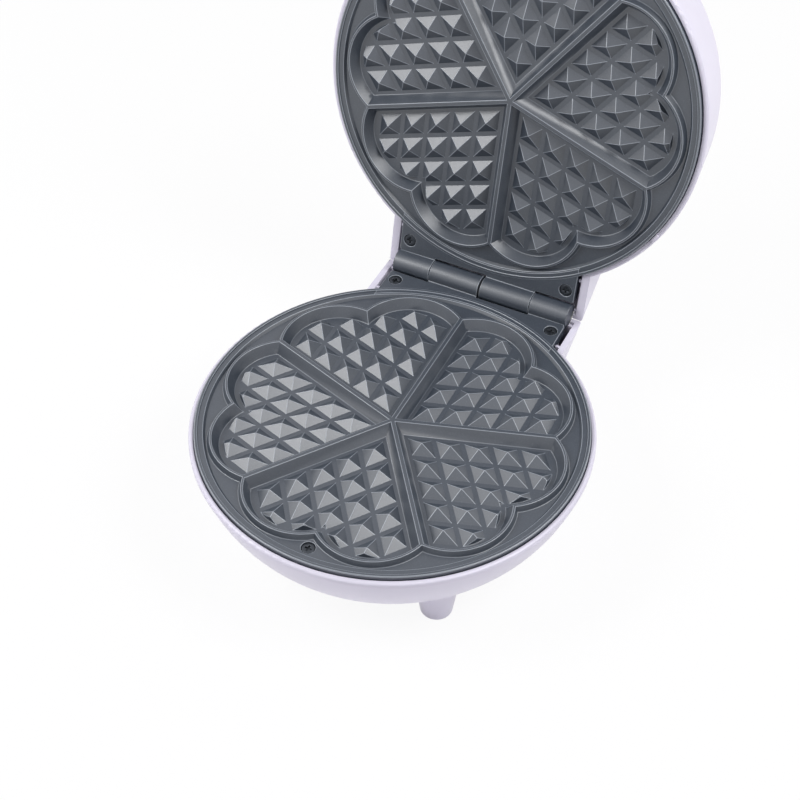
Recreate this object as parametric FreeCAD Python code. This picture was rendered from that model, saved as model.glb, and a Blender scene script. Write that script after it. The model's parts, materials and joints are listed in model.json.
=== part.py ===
import FreeCAD, Part
import math
import os

# Heart waffle maker, shown with its lid open as it is used.
# All lengths are millimetres and all angles are degrees.
# The origin lies on the worktop under the middle of the lower plate.
# +Y points to the hinge, +X to the right of a person in front, and +Z up.
# Each half is drawn lying on its back: its plate faces up, with the ridge tops at height zero.
# The base half is then raised, and the lid half is turned over and swung open about the hinge.

Vector = FreeCAD.Vector

# Whole machine
plate_gap = 0.6
hinge_setback = 9.05
open_angle = 103.0
overrun = 0.5

# Rim of the plate casting
plate_radius = 95.35
lip_depth = 1.0
lip_width = 1.7
lip_slope = 0.2
ledge_depth = 1.6
ledge_width = 2.5
moat_slope = 1.1
moat_depth = 3.0
rim_thickness = 4.2
seat_width = 3.85
edge_chamfer = 0.35

# Hearts of the plate casting
heart_count = 5
heart_depth = 5.6
heart_wall_run = 3.1
plate_floor = 4.0
rib_width = 2.0
lobe_radius = 28.1
ridge_width = 1.1
ridge_run = 1.2
moat_floor_width = 0.55

# Pyramids on the heart floors
pyramid_rows = 5
pyramid_height = 3.7
pyramid_half_width = 5.3
pyramid_pitch = 13.0
pyramid_start = 11.4
channel_width = 2.4
trim_run = 0.6

# Hinge flange and knuckles of the plate casting
flange_depth = 1.2
flange_thickness = 6.0
flange_gap = 0.7
knuckle_radius = 6.1
knuckle_middle_gap = 1.2
knuckle_seam = 0.4
long_knuckle = 27.4
short_knuckle = 20.4
knuckle_rounding = 0.5
knuckle_end_wall = 1.6

# Hinge pins
pin_radius = 2.0
pin_press_clearance = 0.02
pin_running_clearance = 0.06
pin_end_gap = 0.4

# Plate screws and the recesses for their heads
screw_head_radius = 3.0
screw_head_height = 2.0
screw_shank_radius = 1.6
screw_grip = 12.0
screw_recess_radius = 3.4
screw_recess_depth = 2.4
screw_hole_clearance = 0.2
screw_fit_clearance = 0.05
screw_cross_length = 3.4
screw_cross_width = 0.9
screw_cross_depth = 1.1
flange_screw_side = 5.1
flange_screw_back = 5.9
front_screw_inset = 4.35
screw_boss_radius = 4.6

# Rim that both housings share
housing_clearance = 0.35
seat_clearance = 0.4
rim_reveal = 2.2
rim_rounding = 1.2
housing_wall = 2.5

# Base housing
bead_width = 2.3
bead_height = 3.0
bead_step = 0.5
bowl_top_lean = 13.0
bowl_bottom_lean = 45.0
bowl_radius = 76.0
bowl_corner_radius = 20.0

# Feet of the base housing
foot_height = 8.8
foot_radius = 7.75
foot_lean = 7.8
foot_rounding = 1.0
front_foot_angle = 43.15
front_foot_out = 8.73
rear_foot_side = 11.2
rear_foot_inset = 12.5

# Lid housing
lid_rim_width = 2.7
lid_depth = 51.0
lid_lean = 8.2
lid_corner_radius = 14.0
rim_pad_length = 4.6
rim_pad_height = 0.9
rim_pad_angle = 30.7

# Necks of the housings, beside and behind the hinge
neck_gap = 1.7
neck_rear_wall = 2.5
neck_slot_side = 0.4
neck_slot_drop = 1.2
neck_rounding = 1.5
neck_rib_width = 1.6
neck_rib_height = 5.0
neck_rib_drop = 0.5
neck_rib_gap = 0.3
front_rib_reach = 19.0
rear_rib_reach = 2.0
base_neck_wall = 3.1
base_neck_overhang = 2.5
base_neck_side_lean = 13.0
base_neck_rear_lean = 0.0
lid_neck_wall = 4.2
lid_neck_overhang = 3.0
lid_neck_side_lean = 5.0
lid_neck_rear_lean = 25.0
lid_neck_depth = 40.0

# Heaters
heater_radius = 3.25
heater_inset = 36.35
heater_leg_spread = 18.0
heater_bend = 10.0
heater_leg_length = 15.0
heater_seat_height = 4.0
heater_seat_wall = 3.65
heater_clearance = 0.1
bead_radius = 2.9
bead_length = 5.0
bead_clearance = 0.05
heater_pin_radius = 1.25
heater_pin_length = 10.0

# Reflectors
reflector_inset = 13.5
reflector_thickness = 0.6
reflector_rim = 4.0
reflector_opening = 17.0
post_radius = 4.0
post_inset = 6.0
post_count = 3

# Small screws inside the halves
small_head_radius = 2.7
small_head_height = 1.8
small_shank_radius = 1.45
small_grip = 5.0
small_cross_length = 3.0
small_cross_width = 0.8
small_cross_depth = 0.9

# Thermostat under the lower plate
thermostat_flange_length = 32.0
thermostat_flange_width = 12.0
thermostat_flange_thickness = 0.8
thermostat_screw_spread = 12.0
thermostat_screw_grip = 2.6
thermostat_cap_radius = 8.5
thermostat_cap_height = 4.0
thermostat_body_radius = 7.8
thermostat_body_height = 12.0
thermostat_tab_spread = 5.0
thermostat_tab_width = 6.3
thermostat_tab_thickness = 0.8
thermostat_tab_length = 10.0

# Terminal block and leads in the base
block_width = 46.0
block_depth = 12.0
block_height = 12.0
block_drop = 20.0
block_setback = 8.4
block_boss_radius = 5.0
lead_radius = 1.4
lead_bend = 6.0

# Cord gland in the rear wall of the base
gland_drop = 13.0
gland_flange_radius = 9.0
gland_flange_thickness = 2.0
gland_barrel_radius = 6.9
gland_bore_radius = 3.6
gland_clearance = 0.1

# Thermal fuse and its clip under the upper plate
fuse_radius = 2.1
fuse_length = 12.0
fuse_wire_radius = 0.6
fuse_wire_length = 8.0
fuse_clearance = 0.05
clip_thickness = 0.6
clip_width = 8.0
clip_ear = 8.0
clip_screw_grip = 2.6

# Lid handle
handle_width = 76.0
handle_reach = 34.0
handle_thickness = 17.0
handle_rise = 5.0
handle_corner = 16.0
handle_rounding = 4.0
handle_fit_gap = 0.1
handle_screw_spread = 20.0
handle_screw_length = 12.0
handle_pad_inset = 10.0

# Indicator lenses and lamps in the lid
lens_spread = 9.0
lens_inset = 17.4
lens_flange_radius = 5.5
lens_flange_thickness = 1.2
lens_stem_radius = 4.0
lens_stem_length = 8.0
lens_clearance = 0.1
lens_rounding = 0.6
lamp_radius = 2.6
lamp_length = 11.0
lamp_clearance = 0.1
lamp_wire_radius = 0.5
lamp_wire_length = 8.0
lamp_wire_spread = 1.2

# Sizes worked out from the ones above
front_angle = -math.degrees(math.pi / 2)
hinge_height = plate_gap / 2
hinge_reach = plate_radius + hinge_setback
plate_depth = heart_depth + plate_floor
seat_depth = lip_depth + rim_thickness
core_radius = plate_radius - seat_width
lip_inner = plate_radius - lip_width
ledge_outer = lip_inner - lip_slope
ledge_inner = ledge_outer - ledge_width
moat_outer = ledge_inner - moat_slope
heart_angle = 360.0 / heart_count
half_heart = math.radians(heart_angle / 2)
lobe_reach = moat_outer - moat_floor_width - ridge_run - ridge_width - lobe_radius

long_start = knuckle_middle_gap / 2
long_end = long_start + long_knuckle
short_start = long_end + knuckle_seam
short_end = short_start + short_knuckle
flange_half = short_end
flange_rear = hinge_reach - knuckle_radius - flange_gap
flange_screw_x = flange_half - flange_screw_side
flange_screw_y = flange_rear - flange_screw_back
front_screw_y = -(moat_outer - front_screw_inset)
flange_underside = flange_depth + flange_thickness

housing_top = lip_depth + rim_reveal
housing_inner = plate_radius + housing_clearance
seat_inner = core_radius + seat_clearance
bead_outer = housing_inner + bead_width
bowl_top_radius = bead_outer - bead_step
bowl_top_depth = housing_top + bead_height
bowl_top_angle = math.radians(bowl_top_lean)
bowl_bottom_angle = math.radians(bowl_bottom_lean)
bowl_centre_x = bowl_top_radius - bowl_radius * math.cos(bowl_top_angle)
bowl_centre_z = bowl_radius * math.sin(bowl_top_angle) - bowl_top_depth
corner_centre_x = bowl_centre_x + (bowl_radius - bowl_corner_radius) * math.cos(bowl_bottom_angle)
corner_centre_z = bowl_centre_z - (bowl_radius - bowl_corner_radius) * math.sin(bowl_bottom_angle)
base_depth = bowl_corner_radius - corner_centre_z
ridge_height = base_depth + foot_height

lid_rim_radius = housing_inner + lid_rim_width
lid_angle = math.radians(lid_lean)
lid_wall_end = lid_depth - lid_corner_radius * (1 - math.sin(lid_angle))
lid_back_radius = lid_rim_radius - (lid_wall_end - housing_top) * math.tan(lid_angle) \
    - lid_corner_radius * math.cos(lid_angle)
lens_reach = lid_back_radius - lens_inset
neck_half = flange_half + neck_gap + lid_neck_wall
base_neck_rear = hinge_reach + base_neck_overhang
lid_neck_rear = hinge_reach + lid_neck_overhang
neck_slot_depth = knuckle_radius - hinge_height + neck_slot_drop
neck_slot_half = flange_half + neck_slot_side
neck_bottom_half = neck_half - (base_depth - housing_top) * math.tan(math.radians(base_neck_side_lean))
front_foot_reach = corner_centre_x + front_foot_out
rear_foot_x = neck_bottom_half - rear_foot_side
rear_foot_y = base_neck_rear - rear_foot_inset

heater_depth = plate_depth + heater_seat_height
heater_ring_radius = plate_radius - heater_inset
heater_leg_y = math.sqrt((heater_ring_radius + heater_bend) ** 2 - (heater_leg_spread + heater_bend) ** 2)
heater_end_y = heater_leg_y + heater_leg_length
heater_pin_end_y = heater_end_y + heater_pin_length
reflector_depth = heater_depth + heater_radius + heater_clearance
reflector_radius = core_radius - reflector_inset
post_reach = reflector_radius - post_inset
block_top = flange_underside + block_drop
block_y = hinge_reach - block_setback
thermostat_bottom = plate_depth + thermostat_cap_height + thermostat_body_height
thermostat_lead_depth = block_top + block_height / 3
gland_depth = neck_slot_depth + gland_drop
handle_top = housing_top + handle_rise
handle_middle = handle_top + handle_thickness / 2
fuse_depth = plate_depth + fuse_clearance + fuse_radius


def box(x0, x1, y0, y1, z0, z1):
    return Part.makeBox(x1 - x0, y1 - y0, z1 - z0, Vector(x0, y0, z0))


def upright(x, y, radius, bottom, top):
    return Part.makeCylinder(radius, top - bottom, Vector(x, y, bottom))


def along_y(x, z, radius, start, end):
    return Part.makeCylinder(radius, end - start, Vector(x, start, z), Vector(0, 1, 0))


def along_x(y, z, radius, start, end):
    return Part.makeCylinder(radius, end - start, Vector(start, y, z), Vector(1, 0, 0))


def straight_cone(x, y, bottom, bottom_radius, top, top_radius):
    return Part.makeCone(bottom_radius, top_radius, top - bottom, Vector(x, y, bottom))


def polar(radius, angle):
    return radius * math.cos(math.radians(angle)), radius * math.sin(math.radians(angle))


def joined(shapes):
    return shapes[0].fuse(shapes[1:]).removeSplitter()


def line(start, end):
    return Part.LineSegment(start, end).toShape()


def turned(edges):
    face = Part.Face(Part.Wire(edges))
    return face.revolve(Vector(0, 0, 0), Vector(0, 0, 1), 360)


def turned_outline(points):
    corners = [Vector(radius, 0, z) for radius, z in points]
    return turned([line(a, b) for a, b in zip(corners, corners[1:] + corners[:1])])


def on_arc(centre_x, centre_z, radius, angle):
    return Vector(centre_x + radius * math.cos(angle), 0, centre_z - radius * math.sin(angle))


def profile_arc(centre_x, centre_z, radius, start, end):
    points = [on_arc(centre_x, centre_z, radius, angle) for angle in (start, (start + end) / 2, end)]
    return Part.Arc(*points).toShape()


def lobes_and_core(low, low_radius, high, high_radius):
    """Two lobes of one heart and the round core that joins them, for a heart along +X."""
    lobe_x = lobe_reach * math.cos(half_heart / 2)
    lobe_y = lobe_reach * math.sin(half_heart / 2)
    lobes = [straight_cone(lobe_x, side * lobe_y, low, low_radius, high, high_radius) for side in (-1, 1)]
    return joined(lobes + [upright(0, 0, lobe_reach, low, high)])


def heart_wedge(low, low_offset, high, high_offset):
    """Space between two ribs, whose walls stand off the rib lines by the given offsets."""
    length = plate_radius / math.cos(half_heart)
    wires = []
    for z, offset in ((low, low_offset), (high, high_offset)):
        tip = Vector(offset / math.sin(half_heart), 0, z)
        side = Vector(length * math.cos(half_heart), length * math.sin(half_heart), 0)
        other = Vector(side.x, -side.y, 0)
        wires.append(Part.makePolygon([tip, tip + other, tip + side, tip]))
    return Part.makeLoft(wires, True, True)


def heart_pocket():
    """Drafted pocket of one heart along +X, reaching a little above the ridge tops."""
    spread = heart_wall_run * overrun / heart_depth
    rib_half = rib_width / 2
    wedge = heart_wedge(-heart_depth, rib_half + heart_wall_run, overrun, rib_half - spread)
    lobes = lobes_and_core(-heart_depth, lobe_radius - heart_wall_run, overrun, lobe_radius + spread)
    return wedge.common(lobes)


def pyramid(x, y):
    """One four-sided pyramid whose sides follow the two ribs beside its heart."""
    floor = -heart_depth
    low = floor - overrun
    half = pyramid_half_width * (pyramid_height + overrun) / pyramid_height
    half_edge = half / math.sin(2 * half_heart)
    rib = Vector(math.cos(half_heart), math.sin(half_heart), 0) * half_edge
    other = Vector(rib.x, -rib.y, 0)
    middle = Vector(x, y, low)
    corners = [middle + rib + other, middle + rib - other, middle - rib - other, middle - rib + other]
    apex = Vector(x, y, floor + pyramid_height)
    faces = [Part.Face(Part.makePolygon(corners + corners[:1]))]
    for a, b in zip(corners, corners[1:] + corners[:1]):
        faces.append(Part.Face(Part.makePolygon([a, b, apex, a])))
    solid = Part.Solid(Part.Shell(faces))
    solid.fix(0, 0, 0)
    return solid


def heart_pyramids():
    """Pyramids of one heart along +X, the outer ones cut off along the heart's outline."""
    trim_radius = lobe_radius - heart_wall_run - channel_width
    floor = -heart_depth
    trim = lobes_and_core(floor - overrun, trim_radius, floor + pyramid_height, trim_radius - trim_run)
    pieces = []
    for i in range(pyramid_rows):
        for j in range(pyramid_rows):
            if i + j > pyramid_rows:
                continue
            from_rib = pyramid_start + pyramid_pitch * i
            from_other = pyramid_start + pyramid_pitch * j
            x = (from_rib + from_other) / math.sin(2 * half_heart) * math.cos(half_heart)
            y = (from_other - from_rib) / math.sin(2 * half_heart) * math.sin(half_heart)
            pieces.extend(pyramid(x, y).common(trim).Solids)
    return pieces


def around_hearts(shape):
    """Copies of one heart's shape, turned to every heart of the plate."""
    copies = []
    for index in range(heart_count):
        copy = shape.copy()
        copy.rotate(Vector(0, 0, 0), Vector(0, 0, 1), front_angle + heart_angle * index)
        copies.append(copy)
    return copies


def heater_path(leg_length):
    """Open ring with two legs that run back, side by side, to the terminals."""
    z = -heater_depth
    share = heater_ring_radius / (heater_ring_radius + heater_bend)
    centre_x = heater_leg_spread + heater_bend
    right_end = Vector(heater_leg_spread, heater_leg_y + leg_length, z)
    right_leg = Vector(heater_leg_spread, heater_leg_y, z)
    right_ring = Vector(centre_x * share, heater_leg_y * share, z)
    towards_ring = Vector(-centre_x, -heater_leg_y, 0).normalize()
    towards_leg = Vector(-1, 0, 0)
    middle = (towards_ring + towards_leg).normalize() * heater_bend
    right_mid = Vector(centre_x, heater_leg_y, z) + middle
    left = [Vector(-p.x, p.y, p.z) for p in (right_end, right_leg, right_mid, right_ring)]
    front = Vector(0, -heater_ring_radius, z)
    return Part.Wire([
        line(right_end, right_leg),
        Part.Arc(right_leg, right_mid, right_ring).toShape(),
        Part.Arc(right_ring, front, left[3]).toShape(),
        Part.Arc(left[3], left[2], left[1]).toShape(),
        line(left[1], left[0]),
    ])


def swept_tube(path, radius, start, direction):
    section = Part.Wire(Part.makeCircle(radius, start, direction))
    return path.makePipeShell([section], True, False)


def heater_tube(radius):
    start = Vector(heater_leg_spread, heater_end_y, -heater_depth)
    return swept_tube(heater_path(heater_leg_length), radius, start, Vector(0, 1, 0))


def post_places():
    return [polar(post_reach, front_angle + 360.0 / post_count * index) for index in range(post_count)]


def plate_rim():
    return turned_outline([
        (0, -plate_depth),
        (core_radius, -plate_depth),
        (core_radius, -seat_depth),
        (plate_radius, -seat_depth),
        (plate_radius, -lip_depth - edge_chamfer),
        (plate_radius - edge_chamfer, -lip_depth),
        (lip_inner, -lip_depth),
        (ledge_outer, -ledge_depth),
        (ledge_inner, -ledge_depth),
        (moat_outer, -moat_depth),
        (0, -moat_depth),
    ])


def plate_knuckle(start, end):
    """One hinge barrel with the web that carries it on the flange."""
    barrel = along_x(hinge_reach, hinge_height, knuckle_radius, start, end)
    web = box(start, end, flange_rear - overrun, hinge_reach, hinge_height - knuckle_radius, -flange_depth)
    return barrel.fuse(web)


def plate_hinge():
    """Flange and knuckles at the back, with the pin's bores."""
    tongue = box(-flange_half, flange_half, 0, flange_rear, -flange_underside, -flange_depth)
    tongue = tongue.cut(upright(0, 0, core_radius, -flange_underside - overrun, overrun))
    end_barrel = along_x(hinge_reach, hinge_height, knuckle_radius, short_start, short_end)
    outer_edges = [edge for edge in end_barrel.Edges if edge.BoundBox.XMin > (short_start + short_end) / 2]
    end_barrel = end_barrel.makeFillet(knuckle_rounding, outer_edges)
    end_web = box(short_start, short_end - knuckle_rounding, flange_rear - overrun, hinge_reach,
                  hinge_height - knuckle_radius, -flange_depth)
    hinge = joined([tongue, plate_knuckle(-long_end, -long_start), end_barrel, end_web])
    running_bore = along_x(hinge_reach, hinge_height, pin_radius + pin_running_clearance,
                           -long_end - overrun, -long_start + overrun)
    press_bore = along_x(hinge_reach, hinge_height, pin_radius + pin_press_clearance,
                         short_start - overrun, short_end - knuckle_end_wall)
    return hinge.cut([running_bore, press_bore])


def plate_screw_places():
    """Two screws in the flange and one in the moat at the front."""
    return [(-flange_screw_x, flange_screw_y), (flange_screw_x, flange_screw_y), (0, front_screw_y)]


def screw_face_depth(y):
    """Depth of the face that a screw's recess is sunk in: the flange at the back, the moat at the front."""
    return flange_depth if y > 0 else moat_depth


def screw_boss_top(y):
    """Depth of the plate's underside over a boss: the flange at the back, the plate at the front."""
    return flange_underside if y > 0 else plate_depth


def plate_casting():
    """Cast plate with its hearts, its rim, its hinge half and the heater's seat underneath."""
    ridge_top = lobe_radius + ridge_width
    ridge_foot = ridge_top + ridge_run * (moat_depth + overrun) / moat_depth
    ridge = lobes_and_core(-moat_depth - overrun, ridge_foot, 0, ridge_top)
    seat_outer = heater_ring_radius + heater_radius + heater_seat_wall
    seat_bore = heater_ring_radius - heater_radius - heater_seat_wall
    heater_seat = upright(0, 0, seat_outer, -heater_depth, -plate_depth + overrun)
    heater_seat = heater_seat.cut(upright(0, 0, seat_bore, -heater_depth - overrun, overrun))
    posts = [upright(x, y, post_radius, -reflector_depth, -plate_depth + overrun) for x, y in post_places()]
    solid = joined([plate_rim(), plate_hinge(), heater_seat] + posts + around_hearts(ridge))
    cuts = around_hearts(heart_pocket())
    cuts.append(heater_tube(heater_radius + heater_clearance))
    for x, y in plate_screw_places():
        cuts.append(upright(x, y, screw_recess_radius, -screw_face_depth(y) - screw_recess_depth, overrun))
        cuts.append(upright(x, y, screw_shank_radius + screw_hole_clearance, -plate_depth - overrun, overrun))
    small_hole = small_shank_radius + screw_fit_clearance
    for x, y in post_places():
        cuts.append(upright(x, y, small_hole, -reflector_depth - overrun, -reflector_depth + small_grip))
    solid = solid.cut(cuts)
    pyramids = []
    for piece in heart_pyramids():
        pyramids.extend(around_hearts(piece))
    return joined([solid] + pyramids)


def plate_with_holes(casting, places, grip):
    """The casting with blind screw holes in its underside for what is fixed there."""
    radius = small_shank_radius + screw_fit_clearance
    holes = [upright(x, y, radius, -plate_depth - overrun, -plate_depth + grip) for x, y in places]
    return casting.cut(holes)


def cross_recess(length, width, depth):
    bars = [box(-length / 2, length / 2, -width / 2, width / 2, -depth, overrun)]
    bars.append(box(-width / 2, width / 2, -length / 2, length / 2, -depth, overrun))
    return bars[0].fuse(bars[1])


def plate_screw(x, y):
    """Cross-head screw sunk in the plate, seated in its recess and reaching down into its boss."""
    seat = -screw_face_depth(y) - screw_recess_depth
    bottom = -screw_boss_top(y) - screw_grip
    head = upright(0, 0, screw_head_radius, -screw_head_height, 0)
    head = head.cut(cross_recess(screw_cross_length, screw_cross_width, screw_cross_depth))
    head.translate(Vector(x, y, seat + screw_head_height))
    return joined([head, upright(x, y, screw_shank_radius, bottom, seat)])


def plate_screws():
    return Part.makeCompound([plate_screw(x, y) for x, y in plate_screw_places()])


def small_screw(grip, stack):
    """Small cross-head screw along +Z, with its head's bearing face at zero height."""
    head = upright(0, 0, small_head_radius, -small_head_height, 0)
    cross = cross_recess(small_cross_length, small_cross_width, small_cross_depth)
    cross.rotate(Vector(0, 0, 0), Vector(1, 0, 0), 180)
    cross.translate(Vector(0, 0, -small_head_height))
    return joined([head.cut(cross), upright(0, 0, small_shank_radius, 0, stack + grip)])


def placed(shape, x, y, z):
    copy = shape.copy()
    copy.translate(Vector(x, y, z))
    return copy


def neck_wedge(inset, rear, top, bottom, side_lean, rear_lean):
    """Block behind the bowl or drum that carries the hinge, narrower towards its back."""
    wires = []
    for z in (top, bottom):
        fall = -housing_top - z
        half = neck_half - inset - fall * math.tan(math.radians(side_lean))
        back = rear - fall * math.tan(math.radians(rear_lean))
        corners = [Vector(-half, 0, z), Vector(half, 0, z), Vector(half, back, z), Vector(-half, back, z)]
        wires.append(Part.makePolygon(corners + corners[:1]))
    return Part.makeLoft(wires, True, True)


def rounded_neck(rear, bottom, side_lean, rear_lean):
    """Neck with its two rear corners rounded."""
    wedge = neck_wedge(0, rear, -housing_top, bottom, side_lean, rear_lean)
    corners = [edge for edge in wedge.Edges if edge.BoundBox.YMin > 0 and edge.BoundBox.XLength < neck_half]
    return wedge.makeFillet(neck_rounding, corners)


def neck_slot(rear):
    """Cut that keeps the rear wall of a neck clear of the knuckles and the leads between the halves."""
    return box(-neck_slot_half, neck_slot_half, hinge_reach - neck_rear_wall, rear + overrun,
               -neck_slot_depth, overrun)


def neck_ribs():
    """Short ribs inside a neck's side walls that keep the plate's flange in the middle."""
    start = flange_half + neck_rib_gap
    end = neck_half - base_neck_wall / 2
    top = -housing_top - neck_rib_drop
    bottom = top - neck_rib_height
    ribs = []
    for reach in (front_rib_reach, rear_rib_reach):
        back = hinge_reach - reach + neck_rib_width / 2
        for near, far in ((start, end), (-end, -start)):
            ribs.append(box(near, far, back - neck_rib_width, back, bottom, top))
    return ribs


def screw_bosses(outer):
    bosses = []
    for x, y in plate_screw_places():
        boss = upright(x, y, screw_boss_radius, -base_depth, -screw_boss_top(y))
        bosses.append(boss.common(outer))
    return bosses


def screw_pilots():
    radius = screw_shank_radius + screw_fit_clearance
    pilots = []
    for x, y in plate_screw_places():
        pilots.append(upright(x, y, radius, -screw_boss_top(y) - screw_grip, overrun))
    return pilots


def bowl_outside():
    floor = -base_depth
    top = -housing_top
    round_x = bead_outer - rim_rounding
    round_z = top - rim_rounding
    bowl_top = on_arc(bowl_centre_x, bowl_centre_z, bowl_radius, bowl_top_angle)
    step = Vector(bead_outer, 0, -bowl_top_depth)
    return turned([
        line(Vector(0, 0, floor), Vector(corner_centre_x, 0, floor)),
        profile_arc(corner_centre_x, corner_centre_z, bowl_corner_radius, math.pi / 2, bowl_bottom_angle),
        profile_arc(bowl_centre_x, bowl_centre_z, bowl_radius, bowl_bottom_angle, bowl_top_angle),
        line(bowl_top, step),
        line(step, Vector(bead_outer, 0, round_z)),
        profile_arc(round_x, round_z, rim_rounding, 0, -math.pi / 2),
        line(Vector(round_x, 0, top), Vector(0, 0, top)),
        line(Vector(0, 0, top), Vector(0, 0, floor)),
    ])


def bowl_inside():
    floor = -base_depth + housing_wall
    arc_radius = bowl_radius - housing_wall
    seat_angle = math.acos((seat_inner - bowl_centre_x) / arc_radius)
    under_seat = on_arc(bowl_centre_x, bowl_centre_z, arc_radius, seat_angle)
    corner = bowl_corner_radius - housing_wall
    points = [under_seat, Vector(seat_inner, 0, -seat_depth), Vector(housing_inner, 0, -seat_depth),
              Vector(housing_inner, 0, overrun), Vector(0, 0, overrun), Vector(0, 0, floor)]
    edges = [line(a, b) for a, b in zip(points, points[1:])]
    return turned([
        line(Vector(0, 0, floor), Vector(corner_centre_x, 0, floor)),
        profile_arc(corner_centre_x, corner_centre_z, corner, math.pi / 2, bowl_bottom_angle),
        profile_arc(bowl_centre_x, bowl_centre_z, arc_radius, bowl_bottom_angle, seat_angle),
    ] + edges)


def foot_places():
    front = [polar(front_foot_reach, front_angle + side * front_foot_angle) for side in (-1, 1)]
    return front + [(side * rear_foot_x, rear_foot_y) for side in (-1, 1)]


def foot(x, y, inset):
    """Hollow leg moulded with the bowl, wider towards its root."""
    bottom = -ridge_height + inset
    top = corner_centre_z
    widening = math.tan(math.radians(foot_lean))
    low_radius = foot_radius - inset
    cone = straight_cone(x, y, bottom, low_radius, top, low_radius + (top - bottom) * widening)
    if inset:
        return cone
    low_edges = [edge for edge in cone.Edges if edge.BoundBox.ZMax < bottom + foot_rounding]
    return cone.makeFillet(foot_rounding, low_edges)


def gland_hole(radius, start, end):
    return along_y(0, -gland_depth, radius, start, end)


def base_shell():
    """Bowl with its four feet, its neck, the bosses for the plate's screws and the terminal block's boss."""
    floor = -base_depth
    neck = rounded_neck(base_neck_rear, floor, base_neck_side_lean, base_neck_rear_lean)
    outer = joined([bowl_outside(), neck] + [foot(x, y, 0) for x, y in foot_places()])
    hollow = neck_wedge(base_neck_wall, base_neck_rear - neck_rear_wall, overrun, floor + housing_wall,
                        base_neck_side_lean, base_neck_rear_lean)
    feet = [foot(x, y, housing_wall) for x, y in foot_places()]
    cavity = [bowl_inside(), hollow, neck_slot(base_neck_rear)] + feet
    shell = outer.cut(cavity)
    block_boss = upright(0, block_y, block_boss_radius, floor + housing_wall, -block_top - block_height)
    shell = joined([shell, block_boss] + neck_ribs() + screw_bosses(outer))
    block_pilot = upright(0, block_y, small_shank_radius + screw_fit_clearance,
                          -block_top - block_height - small_grip, -block_top)
    gland = gland_hole(gland_barrel_radius + gland_clearance, base_neck_rear - neck_rear_wall - overrun,
                       base_neck_rear + overrun)
    return shell.cut(screw_pilots() + [block_pilot, gland])


def drum(inset, top):
    """Round body of the lid: a tapered wall, a rounded corner and a flat back."""
    back = -lid_depth + inset
    corner = lid_corner_radius - inset
    corner_z = back + corner
    wall_x = lid_rim_radius - inset / math.cos(lid_angle)
    slope = math.tan(lid_angle)
    end_z = corner_z - corner * math.sin(lid_angle)
    end_x = wall_x + (end_z + housing_top) * slope
    corner_x = end_x - corner * math.cos(lid_angle)
    rim = Vector(wall_x + (top + housing_top) * slope, 0, top)
    return turned([
        line(Vector(0, 0, back), Vector(corner_x, 0, back)),
        profile_arc(corner_x, corner_z, corner, math.pi / 2, lid_angle),
        line(Vector(end_x, 0, end_z), rim),
        line(rim, Vector(0, 0, top)),
        line(Vector(0, 0, top), Vector(0, 0, back)),
    ])


def drum_outside():
    outer = drum(0, -housing_top)
    rim_edges = [edge for edge in outer.Edges
                 if edge.Closed and edge.BoundBox.ZMin > -housing_top - rim_rounding]
    return outer.makeFillet(rim_rounding, rim_edges)


def drum_inside():
    """Hollow of the lid: narrowed to the plate's seat, and wider again where the plate's rim lies."""
    body = drum(housing_wall, overrun)
    throat = upright(0, 0, seat_inner, -lid_depth, overrun)
    plate_room = upright(0, 0, housing_inner, -seat_depth, overrun)
    return joined([body.common(throat), plate_room])


def lens_places():
    return [(-lens_spread, -lens_reach), (lens_spread, -lens_reach)]


def handle_screw_axis():
    return [(side * handle_screw_spread, -handle_middle) for side in (-1, 1)]


def handle_pad_face():
    """Where the flat pads for the handle's screws end, inside the lid's front wall."""
    return -(seat_inner - handle_pad_inset)


def rim_pads():
    """Two small raised pads on the lid's rim, one on each side."""
    width = lid_rim_width - rim_rounding
    pads = []
    for angle in (rim_pad_angle, 180.0 - rim_pad_angle):
        pad = box(housing_inner, housing_inner + width, -rim_pad_length / 2, rim_pad_length / 2,
                  -housing_top - overrun, -housing_top + rim_pad_height)
        pad.rotate(Vector(0, 0, 0), Vector(0, 0, 1), angle)
        pads.append(pad)
    return pads


def lid_shell():
    """Drum with its neck, the bosses for the plate's screws and the pads for the handle's screws."""
    neck = rounded_neck(lid_neck_rear, -lid_neck_depth, lid_neck_side_lean, lid_neck_rear_lean)
    outer = joined([drum_outside(), neck])
    hollow = neck_wedge(lid_neck_wall, lid_neck_rear - neck_rear_wall, overrun, -lid_neck_depth + housing_wall,
                        lid_neck_side_lean, lid_neck_rear_lean)
    shell = outer.cut([drum_inside(), hollow, neck_slot(lid_neck_rear)])
    pads = []
    holes = screw_pilots()
    screw_hole = small_shank_radius + screw_hole_clearance
    for x, z in handle_screw_axis():
        pad = along_y(x, z, screw_boss_radius, -lid_rim_radius, handle_pad_face())
        pads.append(pad.common(outer))
        holes.append(along_y(x, z, screw_hole, -lid_rim_radius, handle_pad_face()))
    shell = joined([shell] + pads + rim_pads() + neck_ribs() + screw_bosses(outer))
    for x, y in lens_places():
        holes.append(upright(x, y, lens_stem_radius + lens_clearance, -lid_depth - overrun,
                             -lid_depth + housing_wall + overrun))
    return shell.cut(holes)


def heater_sheath():
    return heater_tube(heater_radius)


def heater_beads():
    beads = []
    for side in (-1, 1):
        x = side * heater_leg_spread
        bead = along_y(x, -heater_depth, bead_radius, heater_end_y, heater_end_y + bead_length)
        bore = along_y(x, -heater_depth, heater_pin_radius + bead_clearance, heater_end_y - overrun,
                       heater_end_y + bead_length + overrun)
        beads.append(bead.cut(bore))
    return Part.makeCompound(beads)


def heater_pins():
    pins = []
    for side in (-1, 1):
        pins.append(along_y(side * heater_leg_spread, -heater_depth, heater_pin_radius,
                            heater_end_y, heater_pin_end_y))
    return Part.makeCompound(pins)


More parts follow.
